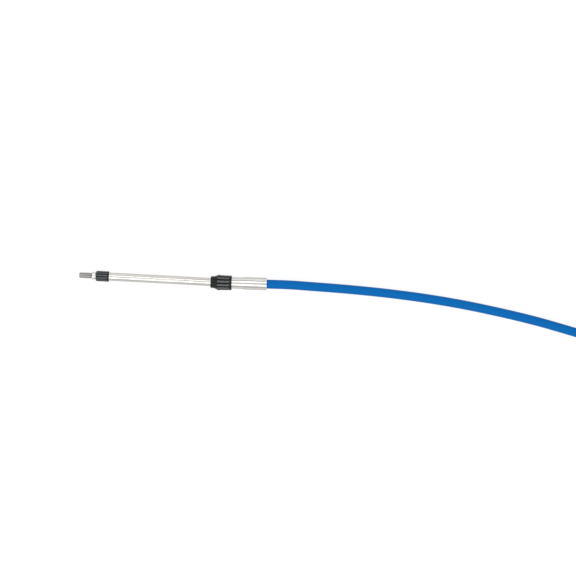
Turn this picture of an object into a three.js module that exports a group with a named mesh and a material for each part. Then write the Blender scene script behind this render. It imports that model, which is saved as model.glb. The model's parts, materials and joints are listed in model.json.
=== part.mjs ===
// Push-pull control cable for a boat, with a threaded rod end and a swivel on each side.
// Millimetres, +Z up. The origin is the centre of rod end A's face. +X runs along end A from
// the rod's tip to the conduit, and the cable lies on a level floor.

import * as THREE from "three";

// Rod: a thread of 10-32 size, a turned shoulder, and a polished shank inside the sleeve
const THREAD_RADIUS = 2.41;
const THREAD_LENGTH = 9.8;
const THREAD_CHAMFER = 0.5;
const SHOULDER_RADIUS = 3.0;
const SHOULDER_LENGTH = 2.85;
const SHOULDER_CHAMFER = 0.35;
const SHANK_RADIUS = 2.38;
const SHANK_LENGTH = 86;
const TRAVEL = 76.2;

// Rod seal: the ribbed rubber cap on the sleeve's open end
const SEAL_RADIUS = 3.85;
const SEAL_LENGTH = 10.2;
const SEAL_CHAMFER = 0.7;
const SEAL_NOSE = 1.35;
const SEAL_LIP_RADIUS = 4.05;
const SEAL_LIP_LENGTH = 0.7;

// Sleeve: a stainless tube that ends in a ball inside the hub
const SLEEVE_RADIUS = 3.175;
const SLEEVE_LENGTH = 97.2;
const BALL_RADIUS = 3.9;
const BALL_STEPS = 5;

// Hub: the socket for the ball, a neck, a flare and a barrel swaged onto the conduit
const SOCKET_WALL = 0.65;
const SOCKET_LIP = 0.35;
const SOCKET_FRONT = 3.0;
const SOCKET_LIP_PLACE = 2.0;
const SOCKET_LENGTH = 5.2;
const SOCKET_RUNOUT = 0.5;
const NECK_RADIUS = 4.4;
const FLARE_PLACE = 15.6;
const FLARE_LENGTH = 2.5;
const BARREL_RADIUS = 4.87;
const BARREL_LENGTH = 17.3;
const BARREL_CHAMFER = 0.4;
const GROOVE_PLACE = 2.3;
const GROOVE_LENGTH = 0.5;
const GROOVE_DEPTH = 0.2;
const CORE_BORE_RADIUS = 2.0;
const CONDUIT_SEAT_DEPTH = 12;

// Swivel boot: ribbed rubber that grips the sleeve in front and the hub's neck behind
const BOOT_FRONT = 8.8;
const BOOT_BACK = 7.9;
const BOOT_NOSE_RADIUS = 4.45;
const BOOT_NOSE_LENGTH = 3.6;
const BOOT_NOSE_ROUND = 0.6;
const BOOT_RING_RADIUS = 6.1;
const BOOT_RING_PLACE = 3.0;
const BOOT_RING_LENGTH = 1.5;
const BOOT_RING_SLOPE = 0.9;
const BOOT_WAIST_RADIUS = 5.55;
const BOOT_GROOVE_PLACE = 2.4;
const BOOT_GROOVE_LENGTH = 0.7;
const BOOT_GROOVE_DEPTH = 0.2;
const BOOT_RIM_RADIUS = 5.75;
const BOOT_RIM_LENGTH = 1.5;
const BOOT_RIM_SLOPE = 0.3;

// Conduit: the jacketed cable between the two hubs
const CONDUIT_RADIUS = 3.55;

// Fits
const RUNNING_GAP = 0.12;
const BALL_GAP = 0.15;
const SEAT_GAP = 0.3;
const BOOT_SWING_GAP = 0.55;

// Coil of the conduit's spare length, and the straps that hold it
const COIL_X = 437.45;
const COIL_Y = 9.14;
const COIL_MEAN_RADIUS = 36.2;
const COIL_COLUMNS = 3;
const COIL_LAYERS = 2;
const TURN_PITCH = 7.2;
const STRAP_THICKNESS = 1.1;
const STRAP_WIDTH = 3.6;
const STRAP_HEAD_LENGTH = 5.5;
const STRAP_HEAD_HEIGHT = 3.4;
const STRAP_ANGLES = [35, 125, 215];

// End A lies with its hub turned a little at the swivel. End B lies beyond the coil, rod out.
const HUB_A_TURN = 1.15;
const END_B_HEADING = 5;
const END_B_X = 473.11;
const END_B_Y = -31.31;

// The conduit's route. Each point is X, Y and the height of the centreline over the floor.
// RUN goes from hub A to the coil, and TAIL from the coil to hub B.
const RUN = [
  [156.0, 0.88, 6.1],
  [166.0, 1.0, 6.0],
  [179.6, 0.75, 5.7],
  [211.0, -0.05, 4.75],
  [242.6, -1.55, 4.0],
  [274.2, -4.05, 3.7],
  [305.8, -7.8, 3.6],
  [337.5, -12.85, 3.75],
  [360.0, -17.1, 4.3],
  [376.0, -20.7, 5.5],
  [391.5, -24.4, 7.9],
  [402.8, -27.1, 10.3],
];
const TAIL = [
  [466.8, -31.86, 6.1],
  [470.0, -31.58, 6.1],
];

const SIDES = 32;
const COIL_SIDES = 48;
const TUBE_SIDES = 12;
const TUBE_STEP = 2.5;

const steel = { color: 0xd9d7d2, roughness: 0.22, metalness: 1 };
const rubber = { color: 0x1b1e20, roughness: 0.6, metalness: 0 };
const jacket = { color: 0x006cb6, roughness: 0.42, metalness: 0 };
const nylon = { color: 0x151617, roughness: 0.5, metalness: 0 };

// Places along an end, measured from the rod's tip
const sealFront = THREAD_LENGTH + SHOULDER_LENGTH + SEAT_GAP;
const sleeveFront = sealFront + SEAL_NOSE + SEAT_GAP;
const ballCentre = sleeveFront + SLEEVE_LENGTH;
const neckPlace = ballCentre + SOCKET_LENGTH;
const flarePlace = ballCentre + FLARE_PLACE;
const barrelPlace = flarePlace + FLARE_LENGTH;
const hubEnd = barrelPlace + BARREL_LENGTH;
const floorHeight = -BOOT_RING_RADIUS;

function named(name, geometry, look) {
  const mesh = new THREE.Mesh(geometry, new THREE.MeshStandardMaterial(look));
  mesh.name = name;
  return mesh;
}

// A turned piece: each profile point is [place along X, radius]
function turned(profile, sides = SIDES) {
  const points = profile.map(([place, radius]) => new THREE.Vector2(radius, place));
  return new THREE.LatheGeometry(points, sides).rotateZ(-Math.PI / 2);
}

function rodGeometry() {
  const shoulder = THREAD_LENGTH;
  const shank = shoulder + SHOULDER_LENGTH;
  return turned([
    [0, 0],
    [0, THREAD_RADIUS - THREAD_CHAMFER],
    [THREAD_CHAMFER, THREAD_RADIUS],
    [shoulder, THREAD_RADIUS],
    [shoulder, SHOULDER_RADIUS - SHOULDER_CHAMFER],
    [shoulder + SHOULDER_CHAMFER, SHOULDER_RADIUS],
    [shank - SHOULDER_CHAMFER, SHOULDER_RADIUS],
    [shank, SHOULDER_RADIUS - SHOULDER_CHAMFER],
    [shank, SHANK_RADIUS],
    [shank + SHANK_LENGTH, SHANK_RADIUS],
    [shank + SHANK_LENGTH, 0],
  ]);
}

function sealGeometry() {
  const front = sealFront;
  const back = front + SEAL_LENGTH;
  const lip = back - SEAL_LIP_LENGTH;
  const rodBore = SHANK_RADIUS + RUNNING_GAP;
  const sleeveBore = SLEEVE_RADIUS + SEAT_GAP;
  return turned([
    [front, rodBore],
    [front, SEAL_RADIUS - SEAL_CHAMFER],
    [front + SEAL_CHAMFER, SEAL_RADIUS],
    [lip, SEAL_RADIUS],
    [back, SEAL_LIP_RADIUS],
    [back, sleeveBore],
    [front + SEAL_NOSE, sleeveBore],
    [front + SEAL_NOSE, rodBore],
    [front, rodBore],
  ]);
}

function sleeveGeometry() {
  const bore = SHANK_RADIUS + RUNNING_GAP;
  const backRadius = bore + SEAT_GAP / 2;
  const start = Math.PI - Math.asin(SLEEVE_RADIUS / BALL_RADIUS);
  const end = Math.asin(backRadius / BALL_RADIUS);
  const ball = [];
  for (let step = 0; step <= BALL_STEPS * 2; step++) {
    const angle = start + ((end - start) * step) / (BALL_STEPS * 2);
    ball.push([ballCentre + BALL_RADIUS * Math.cos(angle), BALL_RADIUS * Math.sin(angle)]);
  }
  const back = ballCentre + BALL_RADIUS * Math.cos(end);
  return turned([
    [sleeveFront, bore],
    [sleeveFront, SLEEVE_RADIUS],
    ...ball,
    [back, bore],
    [sleeveFront, bore],
  ]);
}

function hubGeometry() {
  const cavity = BALL_RADIUS + BALL_GAP;
  const socket = cavity + SOCKET_WALL;
  const lip = cavity - SOCKET_LIP;
  const front = ballCentre - SOCKET_FRONT;
  const back = ballCentre + BALL_RADIUS + SEAT_GAP;
  const groove = hubEnd - GROOVE_PLACE;
  const seat = hubEnd - CONDUIT_SEAT_DEPTH;
  const seatRadius = CONDUIT_RADIUS + SEAT_GAP;
  return turned([
    [front, lip + BALL_GAP],
    [front, socket],
    [neckPlace - SOCKET_RUNOUT, socket],
    [neckPlace, NECK_RADIUS],
    [flarePlace, NECK_RADIUS],
    [barrelPlace, BARREL_RADIUS],
    [groove, BARREL_RADIUS],
    [groove, BARREL_RADIUS - GROOVE_DEPTH],
    [groove + GROOVE_LENGTH, BARREL_RADIUS - GROOVE_DEPTH],
    [groove + GROOVE_LENGTH, BARREL_RADIUS],
    [hubEnd - BARREL_CHAMFER, BARREL_RADIUS],
    [hubEnd, BARREL_RADIUS - BARREL_CHAMFER],
    [hubEnd, seatRadius],
    [seat, seatRadius],
    [seat, CORE_BORE_RADIUS],
    [back, CORE_BORE_RADIUS],
    [back, cavity],
    [ballCentre - SOCKET_LIP_PLACE / 2, cavity],
    [ballCentre - SOCKET_LIP_PLACE, lip],
    [front, lip + BALL_GAP],
  ]);
}

function bootGeometry() {
  const front = ballCentre - BOOT_FRONT;
  const back = ballCentre + BOOT_BACK;
  const ring = ballCentre - BOOT_RING_PLACE;
  const ringEnd = ring + BOOT_RING_LENGTH;
  const groove = ballCentre + BOOT_GROOVE_PLACE;
  const rim = back - BOOT_RIM_LENGTH;
  const sleeveBore = SLEEVE_RADIUS + BOOT_SWING_GAP;
  const cavity = BALL_RADIUS + BALL_GAP + SOCKET_WALL + SEAT_GAP;
  const cavityFront = ballCentre - SOCKET_FRONT - SEAT_GAP;
  const neckBore = NECK_RADIUS + SEAT_GAP;
  const neckFront = neckPlace + SEAT_GAP;
  return turned([
    [front, sleeveBore],
    [front, BOOT_NOSE_RADIUS - BOOT_NOSE_ROUND],
    [front + BOOT_NOSE_ROUND, BOOT_NOSE_RADIUS],
    [front + BOOT_NOSE_LENGTH, BOOT_NOSE_RADIUS],
    [ring, BOOT_RING_RADIUS],
    [ringEnd, BOOT_RING_RADIUS],
    [ringEnd + BOOT_RING_SLOPE, BOOT_WAIST_RADIUS],
    [groove, BOOT_WAIST_RADIUS],
    [groove + BOOT_GROOVE_LENGTH / 2, BOOT_WAIST_RADIUS - BOOT_GROOVE_DEPTH],
    [groove + BOOT_GROOVE_LENGTH, BOOT_WAIST_RADIUS],
    [rim - BOOT_RIM_SLOPE, BOOT_WAIST_RADIUS],
    [rim, BOOT_RIM_RADIUS],
    [back, BOOT_RIM_RADIUS],
    [back, neckBore],
    [neckFront, neckBore],
    [neckFront - SEAT_GAP, cavity],
    [cavityFront, cavity],
    [cavityFront, sleeveBore],
    [front, sleeveBore],
  ]);
}

// One end in its own frame: the rod, seal and sleeve turn about the ball, and the hub and boot
// are turned the other way by hubTurn. rodOut is how far the rod stands out.
function cableEnd(letter, hubTurn, rodOut) {
  const end = new THREE.Group();
  const rod = named(`rod_${letter}`, rodGeometry(), steel);
  rod.position.x = -rodOut;
  end.add(rod);
  end.add(named(`rod_seal_${letter}`, sealGeometry(), rubber));
  end.add(named(`sleeve_${letter}`, sleeveGeometry(), steel));
  const held = new THREE.Group();
  held.position.x = ballCentre;
  held.rotation.z = THREE.MathUtils.degToRad(hubTurn);
  for (const piece of [
    named(`swivel_boot_${letter}`, bootGeometry(), rubber),
    named(`hub_${letter}`, hubGeometry(), steel),
  ]) {
    piece.position.x = -ballCentre;
    held.add(piece);
  }
  end.add(held);
  return end;
}

// A round tube along a smooth curve through the points
function conduitGeometry(points) {
  const route = new THREE.CatmullRomCurve3(points, false, "centripetal");
  const corners = [];
  for (let side = 0; side < TUBE_SIDES; side++) {
    const angle = (side / TUBE_SIDES) * Math.PI * 2;
    corners.push(new THREE.Vector2(Math.cos(angle), Math.sin(angle)).multiplyScalar(CONDUIT_RADIUS));
  }
  const steps = Math.round(route.getLength() / (TUBE_STEP * 2 * CONDUIT_RADIUS));
  return new THREE.ExtrudeGeometry(new THREE.Shape(corners), { steps, extrudePath: route });
}

function routePoint([x, y, height]) {
  return new THREE.Vector3(x, y, floorHeight + height);
}

// Points inside a hub's seat and at its mouth, in the cable's frame
function seatPoints(hub) {
  const inner = hubEnd - CONDUIT_SEAT_DEPTH + SEAT_GAP;
  return [inner, (inner + hubEnd) / 2, hubEnd].map((place) => hub.localToWorld(
    new THREE.Vector3(place, 0, 0),
  ));
}

// The coil's outer shape: a ring with all the turns inside, lifted by the straps under it
function coilGeometry() {
  const half = ((COIL_COLUMNS - 1) * TURN_PITCH) / 2 + CONDUIT_RADIUS;
  const inner = COIL_MEAN_RADIUS - half;
  const outer = COIL_MEAN_RADIUS + half;
  const low = STRAP_THICKNESS + SEAT_GAP;
  const high = low + ((COIL_LAYERS - 1) * TURN_PITCH) + 2 * CONDUIT_RADIUS;
  const profile = [
    [inner, low],
    [outer, low],
    [outer, high],
    [inner, high],
    [inner, low],
  ].map(([radius, height]) => new THREE.Vector2(radius, height));
  return new THREE.LatheGeometry(profile, COIL_SIDES).rotateX(Math.PI / 2);
}

// A strap closed round the coil's section, with its head on top
function strapGeometry() {
  const half = ((COIL_COLUMNS - 1) * TURN_PITCH) / 2 + CONDUIT_RADIUS + SEAT_GAP;
  const high = ((COIL_LAYERS - 1) * TURN_PITCH) + 2 * CONDUIT_RADIUS + 2 * SEAT_GAP;
  const top = high + 2 * STRAP_THICKNESS;
  const outside = half + STRAP_THICKNESS;
  const outline = new THREE.Shape([
    new THREE.Vector2(-outside, 0),
    new THREE.Vector2(outside, 0),
    new THREE.Vector2(outside, top),
    new THREE.Vector2(STRAP_HEAD_LENGTH / 2, top),
    new THREE.Vector2(STRAP_HEAD_LENGTH / 2, top + STRAP_HEAD_HEIGHT),
    new THREE.Vector2(-STRAP_HEAD_LENGTH / 2, top + STRAP_HEAD_HEIGHT),
    new THREE.Vector2(-STRAP_HEAD_LENGTH / 2, top),
    new THREE.Vector2(-outside, top),
  ]);
  outline.holes.push(new THREE.Path([
    new THREE.Vector2(-half, STRAP_THICKNESS),
    new THREE.Vector2(-half, STRAP_THICKNESS + high),
    new THREE.Vector2(half, STRAP_THICKNESS + high),
    new THREE.Vector2(half, STRAP_THICKNESS),
  ]));
  const strap = new THREE.ExtrudeGeometry(outline, { depth: STRAP_WIDTH, bevelEnabled: false });
  return strap.translate(COIL_MEAN_RADIUS, 0, -STRAP_WIDTH / 2).rotateX(Math.PI / 2);
}

const cable = new THREE.Group();
const endA = cableEnd("a", HUB_A_TURN, 0);
cable.add(endA);
const endB = cableEnd("b", 0, TRAVEL);
endB.rotation.z = Math.PI + THREE.MathUtils.degToRad(END_B_HEADING);
endB.position.set(END_B_X, END_B_Y, 0);
const reach = new THREE.Vector3(hubEnd, 0, 0).applyEuler(endB.rotation);
endB.position.sub(reach);
cable.add(endB);
cable.updateMatrixWorld(true);

const hubA = cable.getObjectByName("hub_a");
const hubB = cable.getObjectByName("hub_b");
const runPoints = [...seatPoints(hubA), ...RUN.map(routePoint)];
cable.add(named("conduit_run", conduitGeometry(runPoints), jacket));
const tailPoints = [...TAIL.map(routePoint), ...seatPoints(hubB).reverse()];
cable.add(named("conduit_tail", conduitGeometry(tailPoints), jacket));

const coil = new THREE.Group();
coil.position.set(COIL_X, COIL_Y, floorHeight);
coil.add(named("conduit_coil", coilGeometry(), jacket));
STRAP_ANGLES.forEach((angle, index) => {
  const strap = named(`coil_strap_${index + 1}`, strapGeometry(), nylon);
  strap.rotation.z = THREE.MathUtils.degToRad(angle);
  coil.add(strap);
});
cable.add(coil);

export default cable;
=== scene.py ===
# Looks of a push-pull control cable for a boat, in metres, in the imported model's frame.
# Each end is built along its own X axis, from the rod's tip towards the conduit, with its
# origin at the centre of the swivel's ball. The rod alone has its origin at its tip.

import json
import math

import bmesh
import bpy
import numpy as np
from mathutils import Matrix, Vector


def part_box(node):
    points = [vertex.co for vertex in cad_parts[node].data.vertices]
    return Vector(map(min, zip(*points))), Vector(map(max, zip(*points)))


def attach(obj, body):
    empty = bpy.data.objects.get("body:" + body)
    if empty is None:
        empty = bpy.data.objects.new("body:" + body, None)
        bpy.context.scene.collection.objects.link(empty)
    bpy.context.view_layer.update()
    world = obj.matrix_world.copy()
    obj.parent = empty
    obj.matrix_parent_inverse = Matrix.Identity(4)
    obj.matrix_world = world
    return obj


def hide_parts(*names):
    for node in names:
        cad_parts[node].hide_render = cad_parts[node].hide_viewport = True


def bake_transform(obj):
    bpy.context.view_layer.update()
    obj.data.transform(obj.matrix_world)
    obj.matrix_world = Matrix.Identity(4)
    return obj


MM = 0.001

# The photograph's frame: its size, scale and roll, and where the rod's tip lies in it
PHOTO_PIXELS = 576
PHOTO_SCALE = 0.785 * MM
PHOTO_ROLL = math.radians(3.05)
PHOTO_TIP_COLUMN = 79.5
PHOTO_TIP_ROW = 275.0
CAMERA_HEIGHT = 2.4
SENSOR = 36 * MM

# Conduit, and the coil of its spare length. The coil's angles are in degrees along its turns.
CONDUIT_RADIUS = 3.55 * MM
CONDUIT_SIDES = 32
CONDUIT_STEP = 2.4 * MM
SEAT_DEPTH = 11.7 * MM
COIL_X = 437.45 * MM
COIL_Y = 9.14 * MM
COIL_MEAN_RADIUS = 36.2 * MM
TURN_PITCH = 7.2 * MM
COIL_LOW = 4.95 * MM
COIL_ENTER = -103
COIL_ANGLE = 1818
COIL_STEP = 6
SHIFT_ANGLE = 140
INWARD_SHIFTS = [178, 538]
OUTWARD_SHIFTS = [1118, 1478]
DROP_START = 848
DROP_ANGLE = 100

# The conduit's route from hub A to the coil, and from the coil to hub B: X, Y and the height
# of the centreline over the floor
RUN = [
    (0.1560, 0.00088, 0.00610),
    (0.1660, 0.00100, 0.00600),
    (0.1796, 0.00075, 0.00570),
    (0.2110, -0.00005, 0.00475),
    (0.2426, -0.00155, 0.00400),
    (0.2742, -0.00405, 0.00370),
    (0.3058, -0.00780, 0.00360),
    (0.3375, -0.01285, 0.00375),
    (0.3600, -0.01710, 0.00430),
    (0.3760, -0.02070, 0.00550),
    (0.3915, -0.02440, 0.00790),
    (0.4028, -0.02710, 0.01030),
    (0.4150, -0.03010, 0.01200),
]
TAIL = [
    (0.4492, -0.03340, 0.00495),
    (0.4572, -0.03270, 0.00530),
    (0.4668, -0.03186, 0.00610),
    (0.4700, -0.03158, 0.00610),
]

# Coil straps, and their places round the coil in degrees
STRAP_ANGLES = [35, 125, 215]
STRAP_THICKNESS = 1.1 * MM
STRAP_WIDTH = 3.6 * MM
STRAP_EDGE = 0.25 * MM
LOOP_STEPS = 32
STRAP_CLEARANCE = 0.08 * MM
HEAD_LENGTH = 5.5 * MM
HEAD_WIDTH = 5.0 * MM
HEAD_HEIGHT = 3.6 * MM
HEAD_EDGE = 0.5 * MM
STUB_LENGTH = 3.2 * MM
TOOTH_PITCH = 0.9 * MM
TOOTH_START = 0.4 * TOOTH_PITCH
TOOTH_HEIGHT = 0.25 * MM
TOOTH_WIDTH = 2.6 * MM
TOOTH_EDGE = 0.1 * MM

# Rod
THREAD_RADIUS = 2.41 * MM
THREAD_DEPTH = 0.46 * MM
THREAD_PITCH = 0.794 * MM
THREAD_LENGTH = 9.8 * MM
THREAD_START = 0.55 * MM
THREAD_RUNOUT = 0.7 * MM
THREAD_ROOT_SHARE = 0.06
THREAD_FLANK_SHARE = 0.31
THREAD_ROWS_A_TURN = 12
THREAD_SIDES = 48
SHOULDER_RADIUS = 3.0 * MM
SHOULDER_LENGTH = 2.85 * MM
SHOULDER_ROUND = 0.35 * MM
SHANK_RADIUS = 2.38 * MM
SHANK_LENGTH = 86 * MM
SHANK_ROUND = 0.3 * MM
ROD_CAP_RADIUS = 0.2 * MM

# Sleeve and ball, the hub's end, and where the boot starts and ends its bend. Places are
# measured from the ball's centre.
SLEEVE_FRONT = -97.2 * MM
SLEEVE_RADIUS = 3.175 * MM
SLEEVE_BORE = 2.5 * MM
SLEEVE_ROUND = 0.2 * MM
SLEEVE_SIDES = 64
BALL_RADIUS = 3.9 * MM
BALL_MOUTH = 2.65 * MM
BALL_STEPS = 16
HUB_END = 35.4 * MM
HUB_SIDES = 72
BEND_START = 1.5 * MM
BEND_END = -6.5 * MM

# Outlines of the turned pieces in millimetres: place from the ball's centre, radius, and the
# size of the corner's round
SEAL_OUTLINE = [
    (-98.85, 2.42, 0),
    (-98.85, 3.5, 0.25),
    (-98.15, 4.1, 0.5),
    (-89.75, 4.1, 0.1),
    (-89.4, 4.2, 0.15),
    (-88.8, 4.2, 0.2),
    (-88.65, 4.0, 0.1),
    (-88.65, 3.19, 0),
    (-97.4, 3.19, 0),
    (-97.4, 2.42, 0),
    (-98.85, 2.42, 0),
]
HUB_OUTLINE = [
    (-3.0, 3.85, 0),
    (-3.0, 4.7, 0.2),
    (4.7, 4.7, 0.1),
    (5.2, 4.4, 0),
    (15.6, 4.4, 1.4),
    (18.1, 4.87, 1.4),
    (33.0, 4.87, 0.1),
    (33.15, 4.7, 0.06),
    (33.5, 4.7, 0.06),
    (33.65, 4.87, 0.1),
    (35.1, 4.87, 0.25),
    (35.4, 4.5, 0.15),
    (35.4, 3.57, 0.1),
    (23.4, 3.57, 0),
    (23.4, 2.0, 0),
    (4.2, 2.0, 0),
    (4.2, 4.05, 0),
    (-1.0, 4.05, 0),
    (-2.0, 3.7, 0),
    (-3.0, 3.85, 0),
]
BOOT_OUTLINE = [
    (-8.8, 3.19, 0),
    (-8.8, 4.15, 0.3),
    (-8.2, 4.6, 0.4),
    (-6.3, 4.8, 0.4),
    (-5.9, 4.6, 0.2),
    (-5.4, 4.95, 0.35),
    (-3.7, 5.55, 0.5),
    (-3.1, 6.1, 0.35),
    (-1.7, 6.1, 0.4),
    (-0.8, 5.9, 0.5),
    (2.1, 5.85, 0.3),
    (2.6, 5.6, 0.25),
    (3.1, 5.9, 0.3),
    (6.0, 5.75, 0.3),
    (6.35, 5.75, 0.2),
    (7.7, 5.75, 0.25),
    (7.9, 5.5, 0.2),
    (7.9, 4.42, 0),
    (6.0, 4.42, 0),
    (5.4, 4.85, 0),
    (-3.4, 4.85, 0),
    (-4.6, 3.19, 0),
    (-8.8, 3.19, 0),
]

# Ribs of the rubber pieces
RIBS = 12
RIB_SIDES = 14
RIB_SHAPE = 1.3
RIB_TURN = math.radians(7)
# Crest share of rubber outside the ribs, which sets its share of the painted highlight and of the
# specular level
PLAIN_SHINE = 0.3
SEAL_RIB_DEPTH = 0.42 * MM
SEAL_RIB_INNER = 3.25 * MM
SEAL_RIB_START = -98.7 * MM
SEAL_RIB_END = -89.7 * MM
SEAL_RIB_FADE = 0.5 * MM
BOOT_RIB_DEPTH = 0.55 * MM
BOOT_RIB_INNER = 5.2 * MM
BOOT_RIB_START = -3.9 * MM
BOOT_RIB_END = 6.1 * MM
BOOT_RIB_FADE = 0.6 * MM

# Meshes: points of a turned piece, its rounds, and the angle past which an edge is sharp
RING_SPACING = 0.3 * MM
ARC_STEPS = 5
ROUND_SHARE = 0.45
SAME_PLACE = 1e-9
SHARP_ANGLE = 35
STRAP_SHARP_ANGLE = 30

# Looks. Steel seen along its surface is darker and a little warm.
EDGE_TINT = (0.6, 0.57, 0.54, 1)
SMEAR_SHADE = 0.9
SMEAR_SHINE = 0.7
SMEAR_DULLNESS = 1.5
SLEEVE_STEEL = (0.57, 0.555, 0.53)
SLEEVE_ROUGHNESS = 0.25
HUB_STEEL = (0.58, 0.57, 0.55)
HUB_ROUGHNESS = 0.12
ROD_STEEL = (0.57, 0.56, 0.54)
# Painted shade on the rod's thread: its flanks and roots are coloured darker than its steel
ROD_FLANK_SHADE = (0.32, 0.315, 0.305)
ROD_ROOT_SHADE = (0.14, 0.135, 0.13)
# Painted light on the rubber: a lighter colour as highlight on the ribs' crests, a darker one as shade
# in the grooves
RUBBER_CREST_HIGHLIGHT = (0.018, 0.022, 0.024)
RUBBER_ROOT_SHADE = (0.002, 0.003, 0.003)
JACKET_DARK = (0.0, 0.082, 0.275)
JACKET_LIGHT = (0.0, 0.094, 0.305)
JACKET_SHEEN = 0.05

# Studio
FLOOR_HALF = 4.0
FLOOR_MIDDLE = 0.3
FLOOR_COLOUR = (0.25, 0.25, 0.25, 1)
FLOOR_ROUGHNESS = 0.9
FLOOR_SHEEN = 0.1
FLOOR_GLOW = 0.74
BOX_TARGET = (0.25, 0, 0)
BACK_BOX_PLACE = (0.25, 0.64, 1.2)
BACK_BOX_SIZE = (2.4, 0.2)
BACK_BOX_POWER = 6
FRONT_BOX_PLACE = (0.25, -0.74, 1.15)
FRONT_BOX_SIZE = (2.4, 0.24)
FRONT_BOX_POWER = 8
ROOM_LIGHT = 1.6

# The room's light across the cable: degrees from straight up towards the back, and brightness
ROOM_BANDS = [
    (-90, 0.50),
    (-56, 0.50),
    (-44, 1.00),
    (-26, 1.00),
    (-14, 0.66),
    (16, 0.66),
    (26, 0.90),
    (36, 0.60),
    (52, 0.48),
    (70, 0.95),
    (90, 0.85),
]

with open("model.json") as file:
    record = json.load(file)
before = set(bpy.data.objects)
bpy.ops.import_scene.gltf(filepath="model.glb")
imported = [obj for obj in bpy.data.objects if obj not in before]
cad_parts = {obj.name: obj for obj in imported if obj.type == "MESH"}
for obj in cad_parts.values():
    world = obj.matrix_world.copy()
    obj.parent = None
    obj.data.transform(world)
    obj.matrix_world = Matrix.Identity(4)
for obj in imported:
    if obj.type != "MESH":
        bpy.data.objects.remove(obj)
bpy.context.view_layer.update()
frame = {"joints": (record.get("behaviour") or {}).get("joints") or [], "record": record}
floor_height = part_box("swivel_boot_a")[0][2]
mounts = {mount["name"]: mount for mount in frame["record"]["mounts"]}
joints = {joint["name"]: joint for joint in frame["joints"]}


def smooth(value):
    """0 below 0, 1 above 1, and a smooth step between."""
    value = np.clip(value, 0.0, 1.0)
    return value * value * (3 - 2 * value)


def end_frame(origin, along):
    """A frame at origin with X along the end and Z up."""
    x = Vector(along).normalized()
    z = Vector((0, 0, 1))
    y = z.cross(x)
    turn = Matrix((x, y, z)).transposed().to_4x4()
    return Matrix.Translation(Vector(origin)) @ turn


def add_mesh(name, points, faces, sharp=SHARP_ANGLE):
    """A smooth-shaded piece with sharp edges where its faces turn by more than sharp degrees."""
    mesh = bpy.data.meshes.new(name)
    mesh.from_pydata([tuple(p) for p in points], [], faces)
    mesh.update()
    mesh.polygons.foreach_set("use_smooth", [True] * len(mesh.polygons))
    mesh.set_sharp_from_angle(angle=math.radians(sharp))
    piece = bpy.data.objects.new(name, mesh)
    bpy.context.scene.collection.objects.link(piece)
    return piece


# Camera

def add_camera():
    """Looks straight down, rolled and placed so that the end lies as in the photograph."""
    middle = PHOTO_PIXELS / 2
    right = (middle - PHOTO_TIP_COLUMN) * PHOTO_SCALE
    down = (middle - PHOTO_TIP_ROW) * PHOTO_SCALE
    x = right * math.cos(PHOTO_ROLL) + down * math.sin(PHOTO_ROLL)
    y = right * math.sin(PHOTO_ROLL) - down * math.cos(PHOTO_ROLL)
    data = bpy.data.cameras.new("camera")
    data.sensor_width = SENSOR / MM
    data.lens = SENSOR * CAMERA_HEIGHT / (PHOTO_PIXELS * PHOTO_SCALE) / MM
    camera = bpy.data.objects.new("camera", data)
    camera.location = (x, y, CAMERA_HEIGHT)
    camera.rotation_euler = (0, 0, PHOTO_ROLL)
    bpy.context.scene.collection.objects.link(camera)
    bpy.context.scene.camera = camera


# Conduit

def coil_section(step):
    """How far out of the coil's middle turn the conduit is, and how high, after step degrees."""
    shift = 1.0
    shift -= sum(smooth((step - start) / SHIFT_ANGLE) for start in INWARD_SHIFTS)
    shift += sum(smooth((step - start) / SHIFT_ANGLE) for start in OUTWARD_SHIFTS)
    height = COIL_LOW + TURN_PITCH * (1 - smooth((step - DROP_START) / DROP_ANGLE))
    return TURN_PITCH * shift, height


def coil_points():
    """Five turns: inwards on the top layer, down at the inside, and outwards on the floor."""
    points = []
    for step in range(0, COIL_ANGLE + 1, COIL_STEP):
        out, height = coil_section(step)
        angle = math.radians(COIL_ENTER + step)
        x = COIL_X + (COIL_MEAN_RADIUS + out) * math.cos(angle)
        y = COIL_Y + (COIL_MEAN_RADIUS + out) * math.sin(angle)
        points.append((x, y, height))
    return points


def smooth_route(points, spacing):
    """Points an even spacing apart on a centripetal Catmull-Rom curve through the points."""
    p = np.array(points, float)
    p = np.vstack([2 * p[0] - p[1], p, 2 * p[-1] - p[-2]])
    route = []
    for a, b, c, d in zip(p, p[1:], p[2:], p[3:]):
        t1 = np.linalg.norm(b - a) ** 0.5
        t2 = t1 + np.linalg.norm(c - b) ** 0.5
        t3 = t2 + np.linalg.norm(d - c) ** 0.5
        count = max(1, round(np.linalg.norm(c - b) / spacing))
        for t in np.linspace(t1, t2, count, endpoint=False):
            ab = a + (b - a) * (t / t1)
            bc = b + (c - b) * ((t - t1) / (t2 - t1))
            cd = c + (d - c) * ((t - t2) / (t3 - t2))
            abc = ab + (bc - ab) * (t / t2)
            bcd = bc + (cd - bc) * ((t - t1) / (t3 - t1))
            route.append(abc + (bcd - abc) * ((t - t1) / (t2 - t1)))
    route.append(p[-2])
    return np.array(route)


def conduit_route():
    """The centreline from its seat in hub A, through the coil, to its seat in hub B."""
    over_floor = [(x, y, floor_height + z) for x, y, z in RUN + coil_points() + TAIL]
    seats = []
    for letter in "ab":
        hub = hub_frames[letter]
        places = [HUB_END - SEAT_DEPTH, HUB_END - SEAT_DEPTH / 2, HUB_END]
        seats.append([tuple(hub @ Vector((place, 0, 0))) for place in places])
    return smooth_route(seats[0] + over_floor + seats[1][::-1], CONDUIT_STEP)


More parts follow.
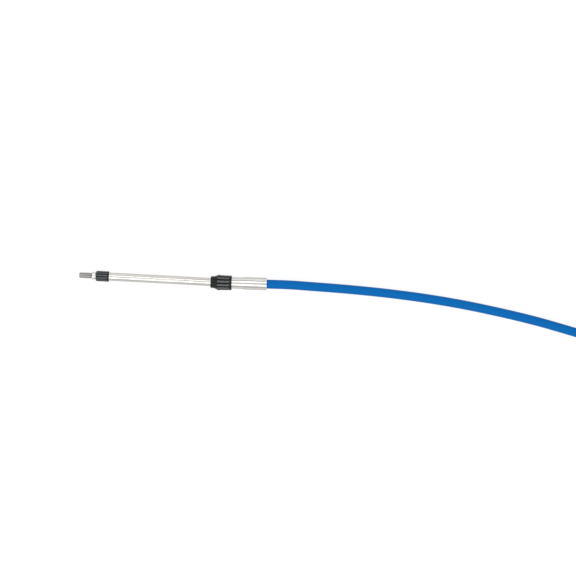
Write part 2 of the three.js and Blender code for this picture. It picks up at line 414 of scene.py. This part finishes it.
def tube(name, route, radius, sides):
    """A closed round tube along the route, with its place along and around as attributes."""
    count = len(route)
    along = np.gradient(route, axis=0)
    along /= np.linalg.norm(along, axis=1)[:, None]
    across = np.cross((0, 0, 1), along)
    across /= np.linalg.norm(across, axis=1)[:, None]
    up = np.cross(along, across)
    angles = np.linspace(0, 2 * math.pi, sides, endpoint=False)
    ring = np.cos(angles)[None, :, None] * across[:, None] + np.sin(angles)[None, :, None] * up[:, None]
    points = (route[:, None] + radius * ring).reshape(-1, 3)
    faces = []
    for row in range(count - 1):
        for side in range(sides):
            other = (side + 1) % sides
            low = row * sides
            faces.append((low + side, low + other, low + sides + other, low + sides + side))
    faces.append(tuple(range(sides))[::-1])
    faces.append(tuple((count - 1) * sides + side for side in range(sides)))
    piece = add_mesh(name, points, faces)
    steps = np.linalg.norm(np.diff(route, axis=0), axis=1)
    lengths = np.repeat(np.concatenate([[0], np.cumsum(steps)]), sides)
    piece.data.attributes.new("along", "FLOAT", "POINT").data.foreach_set("value", lengths)
    turns = np.tile(angles, count)
    piece.data.attributes.new("around", "FLOAT", "POINT").data.foreach_set("value", turns)
    return piece


def make_conduit():
    route = conduit_route()
    piece = tube("conduit", route, CONDUIT_RADIUS, CONDUIT_SIDES)
    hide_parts("conduit_run", "conduit_coil", "conduit_tail")
    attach(piece, "root")
    piece.data.materials.append(looks["blue_jacket"])
    return piece, route


# Turned pieces

def rounded(corners):
    """Points of an outline. A corner is (place, radius, round), with round its arc's size."""
    points = []
    for index, (place, radius, size) in enumerate(corners):
        here = Vector((place, radius))
        if size == 0 or index in (0, len(corners) - 1):
            points.append(here)
            continue
        before = Vector(corners[index - 1][:2]) - here
        after = Vector(corners[index + 1][:2]) - here
        start = here + before.normalized() * min(size, before.length * ROUND_SHARE)
        end = here + after.normalized() * min(size, after.length * ROUND_SHARE)
        for step in range(ARC_STEPS + 1):
            t = step / ARC_STEPS
            points.append(start * (1 - t) ** 2 + here * (2 * t * (1 - t)) + end * t ** 2)
    return points


def filled(points, spacing):
    """The same outline with no two points further apart than spacing."""
    dense = [points[0]]
    for point in points[1:]:
        count = max(1, math.ceil((point - dense[-1]).length / spacing))
        start = dense[-1].copy()
        dense += [start.lerp(point, step / count) for step in range(1, count + 1)]
    return dense


def turned(name, outline, sides, relief=None):
    """A solid turned about X. relief(place, radius, angle) gives how far the surface sinks and
    how much of a crest it is, which the materials read as an attribute; the rod and the rubber paint
    highlight and shade with it."""
    place = np.array([point[0] for point in outline])
    radius = np.array([point[1] for point in outline])
    angles = np.linspace(0, 2 * math.pi, sides, endpoint=False)
    radii = np.repeat(radius[:, None], sides, axis=1)
    crest = np.ones(radii.shape)
    if relief:
        sunk, crest = relief(place[:, None], radius[:, None], angles[None, :])
        radii = radii - sunk
    rings = np.stack([
        np.repeat(place[:, None], sides, axis=1),
        radii * np.cos(angles),
        radii * np.sin(angles),
    ], axis=2)
    closed = math.dist(outline[0], outline[-1]) < SAME_PLACE
    count = len(outline) - 1 if closed else len(outline)
    faces = []
    for row in range(len(outline) - 1):
        low = row * sides
        high = ((row + 1) % count) * sides
        for side in range(sides):
            other = (side + 1) % sides
            faces.append((low + other, low + side, high + side, high + other))
    if not closed:
        faces.append(tuple(range(sides)))
        faces.append(tuple((count - 1) * sides + side for side in range(sides))[::-1])
    piece = add_mesh(name, rings[:count].reshape(-1, 3), faces)
    crests = piece.data.attributes.new("crest", "FLOAT", "POINT")
    crests.data.foreach_set("value", crest[:count].ravel())
    return piece


def millimetres(corners):
    """An outline given in millimetres, in metres."""
    return [(place * MM, radius * MM, size * MM) for place, radius, size in corners]


def ribbed(depth, inner, low, high, fade):
    """Relief of ribs along the axis between the places low and high, outside the inner radius."""
    def relief(place, radius, angle):
        groove = (0.5 + 0.5 * np.cos(RIBS * (angle - RIB_TURN))) ** RIB_SHAPE
        zone = smooth((place - low) / fade) * smooth((high - place) / fade) * (radius > inner)
        return depth * groove * zone, zone * (1 - groove) + (1 - zone) * PLAIN_SHINE
    return relief


def make_rod(letter):
    """Thread, shoulder and shank, from the tip."""
    tip = Vector(mounts[f"rod_end_{letter}"]["pos_m"])
    thread_end = THREAD_LENGTH
    shank = THREAD_LENGTH + SHOULDER_LENGTH
    rows = round(THREAD_LENGTH / THREAD_PITCH * THREAD_ROWS_A_TURN)
    crest = [Vector((thread_end * row / rows, THREAD_RADIUS)) for row in range(rows + 1)]
    back = rounded([
        (thread_end, THREAD_RADIUS, 0),
        (thread_end, SHOULDER_RADIUS, SHOULDER_ROUND),
        (shank, SHOULDER_RADIUS, SHOULDER_ROUND),
        (shank, SHANK_RADIUS, 0),
        (shank + SHANK_LENGTH, SHANK_RADIUS, SHANK_ROUND),
        (shank + SHANK_LENGTH, ROD_CAP_RADIUS, 0),
    ])
    front = [Vector((0, ROD_CAP_RADIUS))]

    def thread(place, radius, angle):
        phase = (place / THREAD_PITCH - angle / (2 * math.pi)) % 1.0
        from_root = np.abs(phase - 0.5) - THREAD_ROOT_SHARE
        flank = np.clip(from_root / THREAD_FLANK_SHARE, 0.0, 1.0)
        fade = smooth((thread_end - place) / THREAD_RUNOUT)
        cut = THREAD_DEPTH * (1 - flank) * fade + THREAD_DEPTH * (1 - fade)
        chamfer = np.clip(THREAD_START - place, 0.0, None)
        on_thread = (place <= thread_end) & (np.abs(radius - THREAD_RADIUS) < SAME_PLACE)
        sunk = np.where(on_thread, np.maximum(cut, chamfer), 0.0)
        return sunk, 1 - sunk / THREAD_DEPTH

    piece = turned(f"threaded_rod_{letter}", front + crest + back[1:], THREAD_SIDES, thread)
    piece.matrix_world = end_frame(tip, -Vector(mounts[f"rod_end_{letter}"]["axis"]))
    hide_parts(f"rod_{letter}")
    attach(piece, f"push_rod_{letter}")
    piece.data.materials.append(looks["rod_steel"])


def make_seal(letter):
    """Ribbed rubber cap with a smooth lip at its back."""
    outline = filled(rounded(millimetres(SEAL_OUTLINE)), RING_SPACING)
    relief = ribbed(SEAL_RIB_DEPTH, SEAL_RIB_INNER, SEAL_RIB_START, SEAL_RIB_END, SEAL_RIB_FADE)
    piece = turned(f"seal_{letter}", outline, RIBS * RIB_SIDES, relief)
    piece.matrix_world = sleeve_frames[letter]
    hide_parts(f"rod_seal_{letter}")
    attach(piece, f"swivel_tube_{letter}")
    piece.data.materials.append(looks["black_rubber"])


def make_sleeve(letter):
    """Polished tube with the ball at its inner end."""
    corners = [(SLEEVE_FRONT, SLEEVE_BORE, 0), (SLEEVE_FRONT, SLEEVE_RADIUS, SLEEVE_ROUND)]
    start = math.pi - math.asin(SLEEVE_RADIUS / BALL_RADIUS)
    end = math.asin(BALL_MOUTH / BALL_RADIUS)
    for step in range(BALL_STEPS + 1):
        angle = start + (end - start) * step / BALL_STEPS
        corners.append((BALL_RADIUS * math.cos(angle), BALL_RADIUS * math.sin(angle), 0))
    corners.append((corners[-1][0], SLEEVE_BORE, 0))
    corners.append(corners[0])
    piece = turned(f"sleeve_tube_{letter}", rounded(corners), SLEEVE_SIDES)
    piece.matrix_world = sleeve_frames[letter]
    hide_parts(f"sleeve_{letter}")
    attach(piece, f"swivel_tube_{letter}")
    piece.data.materials.append(looks["sleeve_steel"])


def make_hub(letter):
    """Socket, neck, flare and swaged barrel with a groove by its end."""
    outline = rounded(millimetres(HUB_OUTLINE))
    piece = turned(f"hub_body_{letter}", outline, HUB_SIDES)
    piece.matrix_world = hub_frames[letter]
    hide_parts(f"hub_{letter}")
    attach(piece, "root")
    piece.data.materials.append(looks["hub_steel"])


def make_boot(letter):
    """Ribbed rubber boot that bends between the hub and the sleeve."""
    outline = filled(rounded(millimetres(BOOT_OUTLINE)), RING_SPACING)
    relief = ribbed(BOOT_RIB_DEPTH, BOOT_RIB_INNER, BOOT_RIB_START, BOOT_RIB_END, BOOT_RIB_FADE)
    piece = turned(f"boot_{letter}", outline, RIBS * RIB_SIDES, relief)
    hub = hub_frames[letter]
    sleeve = sleeve_frames[letter]
    bend_to_sleeve(piece, hub, sleeve)
    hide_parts(f"swivel_boot_{letter}")
    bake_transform(piece)
    piece.data.materials.append(looks["black_rubber"])


def bend_to_sleeve(piece, hub, sleeve):
    """Puts the boot in place: its back on the hub, its nose on the sleeve."""
    for vertex in piece.data.vertices:
        share = smooth((BEND_START - vertex.co.x) / (BEND_START - BEND_END))
        vertex.co = (hub @ vertex.co).lerp(sleeve @ vertex.co, share)


# Coil straps

def strap_loop(centres):
    """A line drawn tight round the turns with these centres: points and outward directions."""
    spots = []
    for centre in centres:
        for turn in range(LOOP_STEPS):
            angle = 2 * math.pi * turn / LOOP_STEPS
            out = Vector((math.cos(angle), math.sin(angle)))
            spots.append((centre + out * (CONDUIT_RADIUS + STRAP_CLEARANCE), out))
    spots.sort(key=lambda spot: tuple(spot[0]))

    def tight_side(ordered):
        side = []
        for spot in ordered:
            while len(side) > 1 and (side[-1][0] - side[-2][0]).cross(spot[0] - side[-2][0]) <= 0:
                side.pop()
            side.append(spot)
        return side[:-1]

    return tight_side(spots) + tight_side(spots[::-1])


def band(loop, thickness, width, edge):
    """Points and faces of a flat band round a closed loop, with its long edges bevelled."""
    half = width / 2
    section = [
        (0, -half + edge),
        (edge, -half),
        (thickness - edge, -half),
        (thickness, -half + edge),
        (thickness, half - edge),
        (thickness - edge, half),
        (edge, half),
        (0, half - edge),
    ]
    points = []
    for point, out in loop:
        for offset, side in section:
            spot = point + out * offset
            points.append((spot.x, side, spot.y))
    size = len(section)
    rows = len(loop)
    faces = []
    for row in range(rows):
        for k in range(size):
            other = (k + 1) % size
            low = row * size
            high = ((row + 1) % rows) * size
            faces.append((low + k, low + other, high + other, high + k))
    return points, faces


def bevelled_box(low, high, edge):
    """Points and faces of a box with all its edges cut at 45 degrees."""
    points = []
    index = {}
    for corner in range(8):
        sides = [(corner >> axis) & 1 for axis in range(3)]
        for flat in range(3):
            spot = []
            for axis in range(3):
                value = high[axis] if sides[axis] else low[axis]
                inset = 0 if axis == flat else edge
                spot.append(value - inset if sides[axis] else value + inset)
            index[(tuple(sides), flat)] = len(points)
            points.append(tuple(spot))
    faces = []
    for flat in range(3):
        others = [axis for axis in range(3) if axis != flat]
        for side in (0, 1):
            quad = []
            for a, b in ((0, 0), (1, 0), (1, 1), (0, 1)):
                sides = [0, 0, 0]
                sides[flat] = side
                sides[others[0]] = a
                sides[others[1]] = b
                quad.append(index[(tuple(sides), flat)])
            faces.append(tuple(quad))
    for along in range(3):
        others = [axis for axis in range(3) if axis != along]
        for a in (0, 1):
            for b in (0, 1):
                ends = []
                for end in (0, 1):
                    sides = [0, 0, 0]
                    sides[along] = end
                    sides[others[0]] = a
                    sides[others[1]] = b
                    ends.append(tuple(sides))
                faces.append((
                    index[(ends[0], others[0])],
                    index[(ends[0], others[1])],
                    index[(ends[1], others[1])],
                    index[(ends[1], others[0])],
                ))
    for corner in range(8):
        sides = tuple((corner >> axis) & 1 for axis in range(3))
        faces.append(tuple(index[(sides, flat)] for flat in range(3)))
    return points, faces


def joined(parts):
    """Points and faces of several closed parts in one mesh."""
    points = []
    faces = []
    for more_points, more_faces in parts:
        start = len(points)
        points += more_points
        faces += [tuple(start + corner for corner in face) for face in more_faces]
    return points, faces


def make_strap(number, angle):
    """A nylon tie pulled tight round the coil, with its head on top and its tail cut short."""
    steps = range((angle - COIL_ENTER) % 360, COIL_ANGLE, 360)
    centres = [Vector(coil_section(step)) for step in steps]
    parts = [band(strap_loop(centres), STRAP_THICKNESS, STRAP_WIDTH, STRAP_EDGE)]
    height = max(centre.y for centre in centres)
    on_top = [centre.x for centre in centres if centre.y > height - CONDUIT_RADIUS / 2]
    middle = sum(on_top) / len(on_top)
    low = height + CONDUIT_RADIUS + STRAP_CLEARANCE
    top = low + STRAP_THICKNESS + HEAD_HEIGHT
    head_low = (middle - HEAD_LENGTH / 2, -HEAD_WIDTH / 2, low + STRAP_EDGE)
    head_high = (middle + HEAD_LENGTH / 2, HEAD_WIDTH / 2, top)
    parts.append(bevelled_box(head_low, head_high, HEAD_EDGE))
    side = middle + STRAP_THICKNESS / 2
    stub_low = (side - STRAP_THICKNESS, -STRAP_WIDTH / 2, top - HEAD_HEIGHT / 2)
    stub_high = (side, STRAP_WIDTH / 2, top + STUB_LENGTH)
    parts.append(bevelled_box(stub_low, stub_high, STRAP_EDGE))
    for tooth in range(int(STUB_LENGTH / TOOTH_PITCH)):
        place = top + TOOTH_START + tooth * TOOTH_PITCH
        parts.append(bevelled_box(
            (side - TOOTH_HEIGHT, -TOOTH_WIDTH / 2, place),
            (side + TOOTH_HEIGHT, TOOTH_WIDTH / 2, place + TOOTH_PITCH / 2),
            TOOTH_EDGE,
        ))
    points, faces = joined(parts)
    piece = add_mesh(f"strap_{number}", points, faces, sharp=STRAP_SHARP_ANGLE)
    piece.data.validate()
    orient_faces(piece)
    turn = Matrix.Rotation(math.radians(angle), 4, "Z")
    out = Matrix.Translation((COIL_MEAN_RADIUS, 0, 0))
    piece.matrix_world = Matrix.Translation((COIL_X, COIL_Y, floor_height)) @ turn @ out
    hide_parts(f"coil_strap_{number}")
    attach(piece, "root")
    piece.data.materials.append(looks["black_nylon"])
    return piece


def orient_faces(piece):
    """Turns the faces of each closed part outwards."""
    work = bmesh.new()
    work.from_mesh(piece.data)
    bmesh.ops.recalc_face_normals(work, faces=work.faces)
    work.to_mesh(piece.data)
    work.free()


# Materials

def new_material(name):
    """A new material, its node tree and its shader."""
    material = bpy.data.materials.new(name)
    material.use_nodes = True
    tree = material.node_tree
    return material, tree, tree.nodes["Principled BSDF"]


def attribute(tree, name):
    """The value of one of the mesh's own attributes."""
    made = tree.nodes.new("ShaderNodeAttribute")
    made.attribute_name = name
    return made.outputs["Fac"]


def ramp(tree, source, stops):
    """A colour ramp on source. Each stop is (position, colour or grey)."""
    made = tree.nodes.new("ShaderNodeValToRGB")
    elements = made.color_ramp.elements
    while len(elements) < len(stops):
        elements.new(0.5)
    for element, (position, value) in zip(elements, stops):
        element.position = position
        colour = value if isinstance(value, tuple) else (value, value, value)
        element.color = (*colour, 1)
    tree.links.new(source, made.inputs["Fac"])
    return made.outputs["Color"]


def noise(tree, coordinates, scale=1.0, detail=3.0, roughness=0.55):
    """Noise from 0 to 1 in the coordinates, with scale its features a metre."""
    made = tree.nodes.new("ShaderNodeTexNoise")
    made.inputs["Scale"].default_value = scale
    made.inputs["Detail"].default_value = detail
    made.inputs["Roughness"].default_value = roughness
    tree.links.new(coordinates, made.inputs["Vector"])
    return made.outputs["Fac"]


def stretched(tree, coordinates, scale):
    """The coordinates with a scale of their own along each axis."""
    made = tree.nodes.new("ShaderNodeMapping")
    made.inputs["Scale"].default_value = scale
    tree.links.new(coordinates, made.inputs["Vector"])
    return made.outputs["Vector"]


def bump(tree, shader, height, strength, distance):
    """Relief in the shading only."""
    made = tree.nodes.new("ShaderNodeBump")
    made.inputs["Strength"].default_value = strength
    made.inputs["Distance"].default_value = distance
    tree.links.new(height, made.inputs["Height"])
    tree.links.new(made.outputs["Normal"], shader.inputs["Normal"])


def object_coordinates(tree):
    return tree.nodes.new("ShaderNodeTexCoord").outputs["Object"]


def steel_material(name, colour, roughness):
    """Polished stainless steel with fine draw lines along it and faint handling marks."""
    material, tree, shader = new_material(name)
    where = object_coordinates(tree)
    lines = noise(tree, stretched(tree, where, (30, 2600, 2600)), detail=2.0)
    smears = noise(tree, stretched(tree, where, (60, 160, 160)), detail=4.0)
    dark = tuple(value * SMEAR_SHADE for value in colour)
    tree.links.new(ramp(tree, smears, [(0.3, dark), (0.65, colour)]), shader.inputs["Base Color"])
    shader.inputs["Metallic"].default_value = 1.0
    shader.inputs["Specular Tint"].default_value = EDGE_TINT
    low = (0.3, roughness * SMEAR_SHINE)
    high = (0.75, roughness * SMEAR_DULLNESS)
    tree.links.new(ramp(tree, smears, [low, high]), shader.inputs["Roughness"])
    bump(tree, shader, lines, strength=0.08, distance=0.02 * MM)
    return material


def rod_material():
    """Turned steel: bright on the crests and the shank, dull in the thread's roots, with painted shade
    darkening its flanks and roots.
    """
    material, tree, shader = new_material("rod_steel_look")
    where = object_coordinates(tree)
    crest = attribute(tree, "crest")
    # Painted shade: the colour darkens from the crests down the flanks into the thread's roots
    colour = ramp(tree, crest, [
        (0.0, ROD_ROOT_SHADE),
        (0.5, ROD_FLANK_SHADE),
        (0.92, ROD_STEEL),
    ])
    tree.links.new(colour, shader.inputs["Base Color"])
    tree.links.new(ramp(tree, crest, [(0.0, 0.5), (1.0, 0.22)]), shader.inputs["Roughness"])
    shader.inputs["Metallic"].default_value = 1.0
    marks = noise(tree, stretched(tree, where, (3000, 300, 300)), detail=2.0)
    bump(tree, shader, marks, strength=0.1, distance=0.02 * MM)
    return material


def rubber_material():
    """Moulded black rubber: satin and lightly pitted, with a painted highlight lightening the ribs'
    crests and painted shade darkening the grooves.
    """
    material, tree, shader = new_material("black_rubber_look")
    where = object_coordinates(tree)
    crest = attribute(tree, "crest")
    patches = noise(tree, where, scale=420, detail=4.0)
    pits = noise(tree, where, scale=5200)
    # Painted highlight on the ribs' crests and painted shade in the grooves; the crests also get a
    # higher specular level
    colour = ramp(tree, crest, [(0.1, RUBBER_ROOT_SHADE), (0.95, RUBBER_CREST_HIGHLIGHT)])
    tree.links.new(colour, shader.inputs["Base Color"])
    tree.links.new(ramp(tree, crest, [(0.2, 0.06), (0.95, 0.85)]), shader.inputs["Specular IOR Level"])
    tree.links.new(ramp(tree, patches, [(0.3, 0.2), (0.8, 0.32)]), shader.inputs["Roughness"])
    bump(tree, shader, pits, strength=0.25, distance=0.04 * MM)
    return material


def jacket_material():
    """Extruded blue jacket: semi-gloss, with faint die lines along it and slight scuffs."""
    material, tree, shader = new_material("blue_jacket_look")
    along = attribute(tree, "along")
    around = attribute(tree, "around")
    place = tree.nodes.new("ShaderNodeCombineXYZ")
    for operation, socket in (("COSINE", "X"), ("SINE", "Y")):
        turn = tree.nodes.new("ShaderNodeMath")
        turn.operation = operation
        tree.links.new(around, turn.inputs[0])
        tree.links.new(turn.outputs[0], place.inputs[socket])
    tree.links.new(along, place.inputs["Z"])
    lines = noise(tree, stretched(tree, place.outputs[0], (26, 26, 12)))
    scuffs = noise(tree, stretched(tree, place.outputs[0], (3, 3, 160)), detail=5.0, roughness=0.65)
    colour = ramp(tree, scuffs, [(0.3, JACKET_DARK), (0.7, JACKET_LIGHT)])
    tree.links.new(colour, shader.inputs["Base Color"])
    tree.links.new(ramp(tree, scuffs, [(0.3, 0.34), (0.75, 0.46)]), shader.inputs["Roughness"])
    shader.inputs["Specular IOR Level"].default_value = JACKET_SHEEN
    bump(tree, shader, lines, strength=0.12, distance=0.03 * MM)
    return material


def nylon_material():
    """Black moulded nylon."""
    material, tree, shader = new_material("black_nylon_look")
    where = object_coordinates(tree)
    grain = noise(tree, where, scale=1800)
    tree.links.new(ramp(tree, grain, [(0.3, 0.012), (0.7, 0.02)]), shader.inputs["Base Color"])
    tree.links.new(ramp(tree, grain, [(0.3, 0.38), (0.7, 0.5)]), shader.inputs["Roughness"])
    bump(tree, shader, grain, strength=0.15, distance=0.03 * MM)
    return material


# Studio

def add_floor():
    half = FLOOR_HALF
    corners = [(-half, -half, 0), (half, -half, 0), (half, half, 0), (-half, half, 0)]
    floor = add_mesh("floor", corners, [(0, 1, 2, 3)])
    floor.location = (FLOOR_MIDDLE, 0, floor_height)
    material, tree, shader = new_material("floor_look")
    shader.inputs["Base Color"].default_value = FLOOR_COLOUR
    shader.inputs["Roughness"].default_value = FLOOR_ROUGHNESS
    shader.inputs["Specular IOR Level"].default_value = FLOOR_SHEEN
    shader.inputs["Emission Color"].default_value = (1, 1, 1, 1)
    shader.inputs["Emission Strength"].default_value = FLOOR_GLOW
    floor.data.materials.append(material)


def add_soft_box(name, location, size, power):
    """An area light that looks at the cable."""
    data = bpy.data.lights.new(name, "AREA")
    data.shape = "RECTANGLE"
    data.size, data.size_y = size
    data.energy = power
    light = bpy.data.objects.new(name, data)
    light.location = location
    look = Vector(BOX_TARGET) - Vector(location)
    light.rotation_euler = look.to_track_quat("-Z", "Y").to_euler()
    bpy.context.scene.collection.objects.link(light)


def add_studio():
    """A pale room whose ceiling has long bright bands beside the cable, and two soft boxes."""
    add_soft_box("back_box", BACK_BOX_PLACE, BACK_BOX_SIZE, BACK_BOX_POWER)
    add_soft_box("front_box", FRONT_BOX_PLACE, FRONT_BOX_SIZE, FRONT_BOX_POWER)
    world = bpy.data.worlds.new("room")
    world.use_nodes = True
    tree = world.node_tree
    where = tree.nodes.new("ShaderNodeTexCoord").outputs["Generated"]
    parts = tree.nodes.new("ShaderNodeSeparateXYZ")
    tree.links.new(where, parts.inputs[0])
    across = tree.nodes.new("ShaderNodeMapRange")
    across.inputs["From Min"].default_value = -1
    across.inputs["From Max"].default_value = 1
    tree.links.new(parts.outputs["Y"], across.inputs["Value"])
    stops = [((1 + math.sin(math.radians(angle))) / 2, light) for angle, light in ROOM_BANDS]
    light = ramp(tree, across.outputs["Result"], stops)
    tree.links.new(light, tree.nodes["Background"].inputs["Color"])
    tree.nodes["Background"].inputs["Strength"].default_value = ROOM_LIGHT
    bpy.context.scene.world = world
    bpy.context.scene.view_settings.view_transform = "Standard"


sleeve_frames = {}
hub_frames = {}
for letter in "ab":
    ball = joints[f"swivel_{letter}"]["pos_m"]
    sleeve_frames[letter] = end_frame(ball, -Vector(mounts[f"rod_end_{letter}"]["axis"]))
    hub_frames[letter] = end_frame(ball, mounts[f"hub_end_{letter}"]["axis"])

looks = {
    "blue_jacket": jacket_material(),
    "black_nylon": nylon_material(),
    "rod_steel": rod_material(),
    "black_rubber": rubber_material(),
    "sleeve_steel": steel_material("sleeve_steel_look", SLEEVE_STEEL, SLEEVE_ROUGHNESS),
    "hub_steel": steel_material("hub_steel_look", HUB_STEEL, HUB_ROUGHNESS),
}

add_camera()
conduit, route = make_conduit()
straps = [make_strap(number, angle) for number, angle in enumerate(STRAP_ANGLES, 1)]
for letter in "ab":
    make_rod(letter)
    make_seal(letter)
    make_sleeve(letter)
    make_hub(letter)
    make_boot(letter)
add_floor()
add_studio()
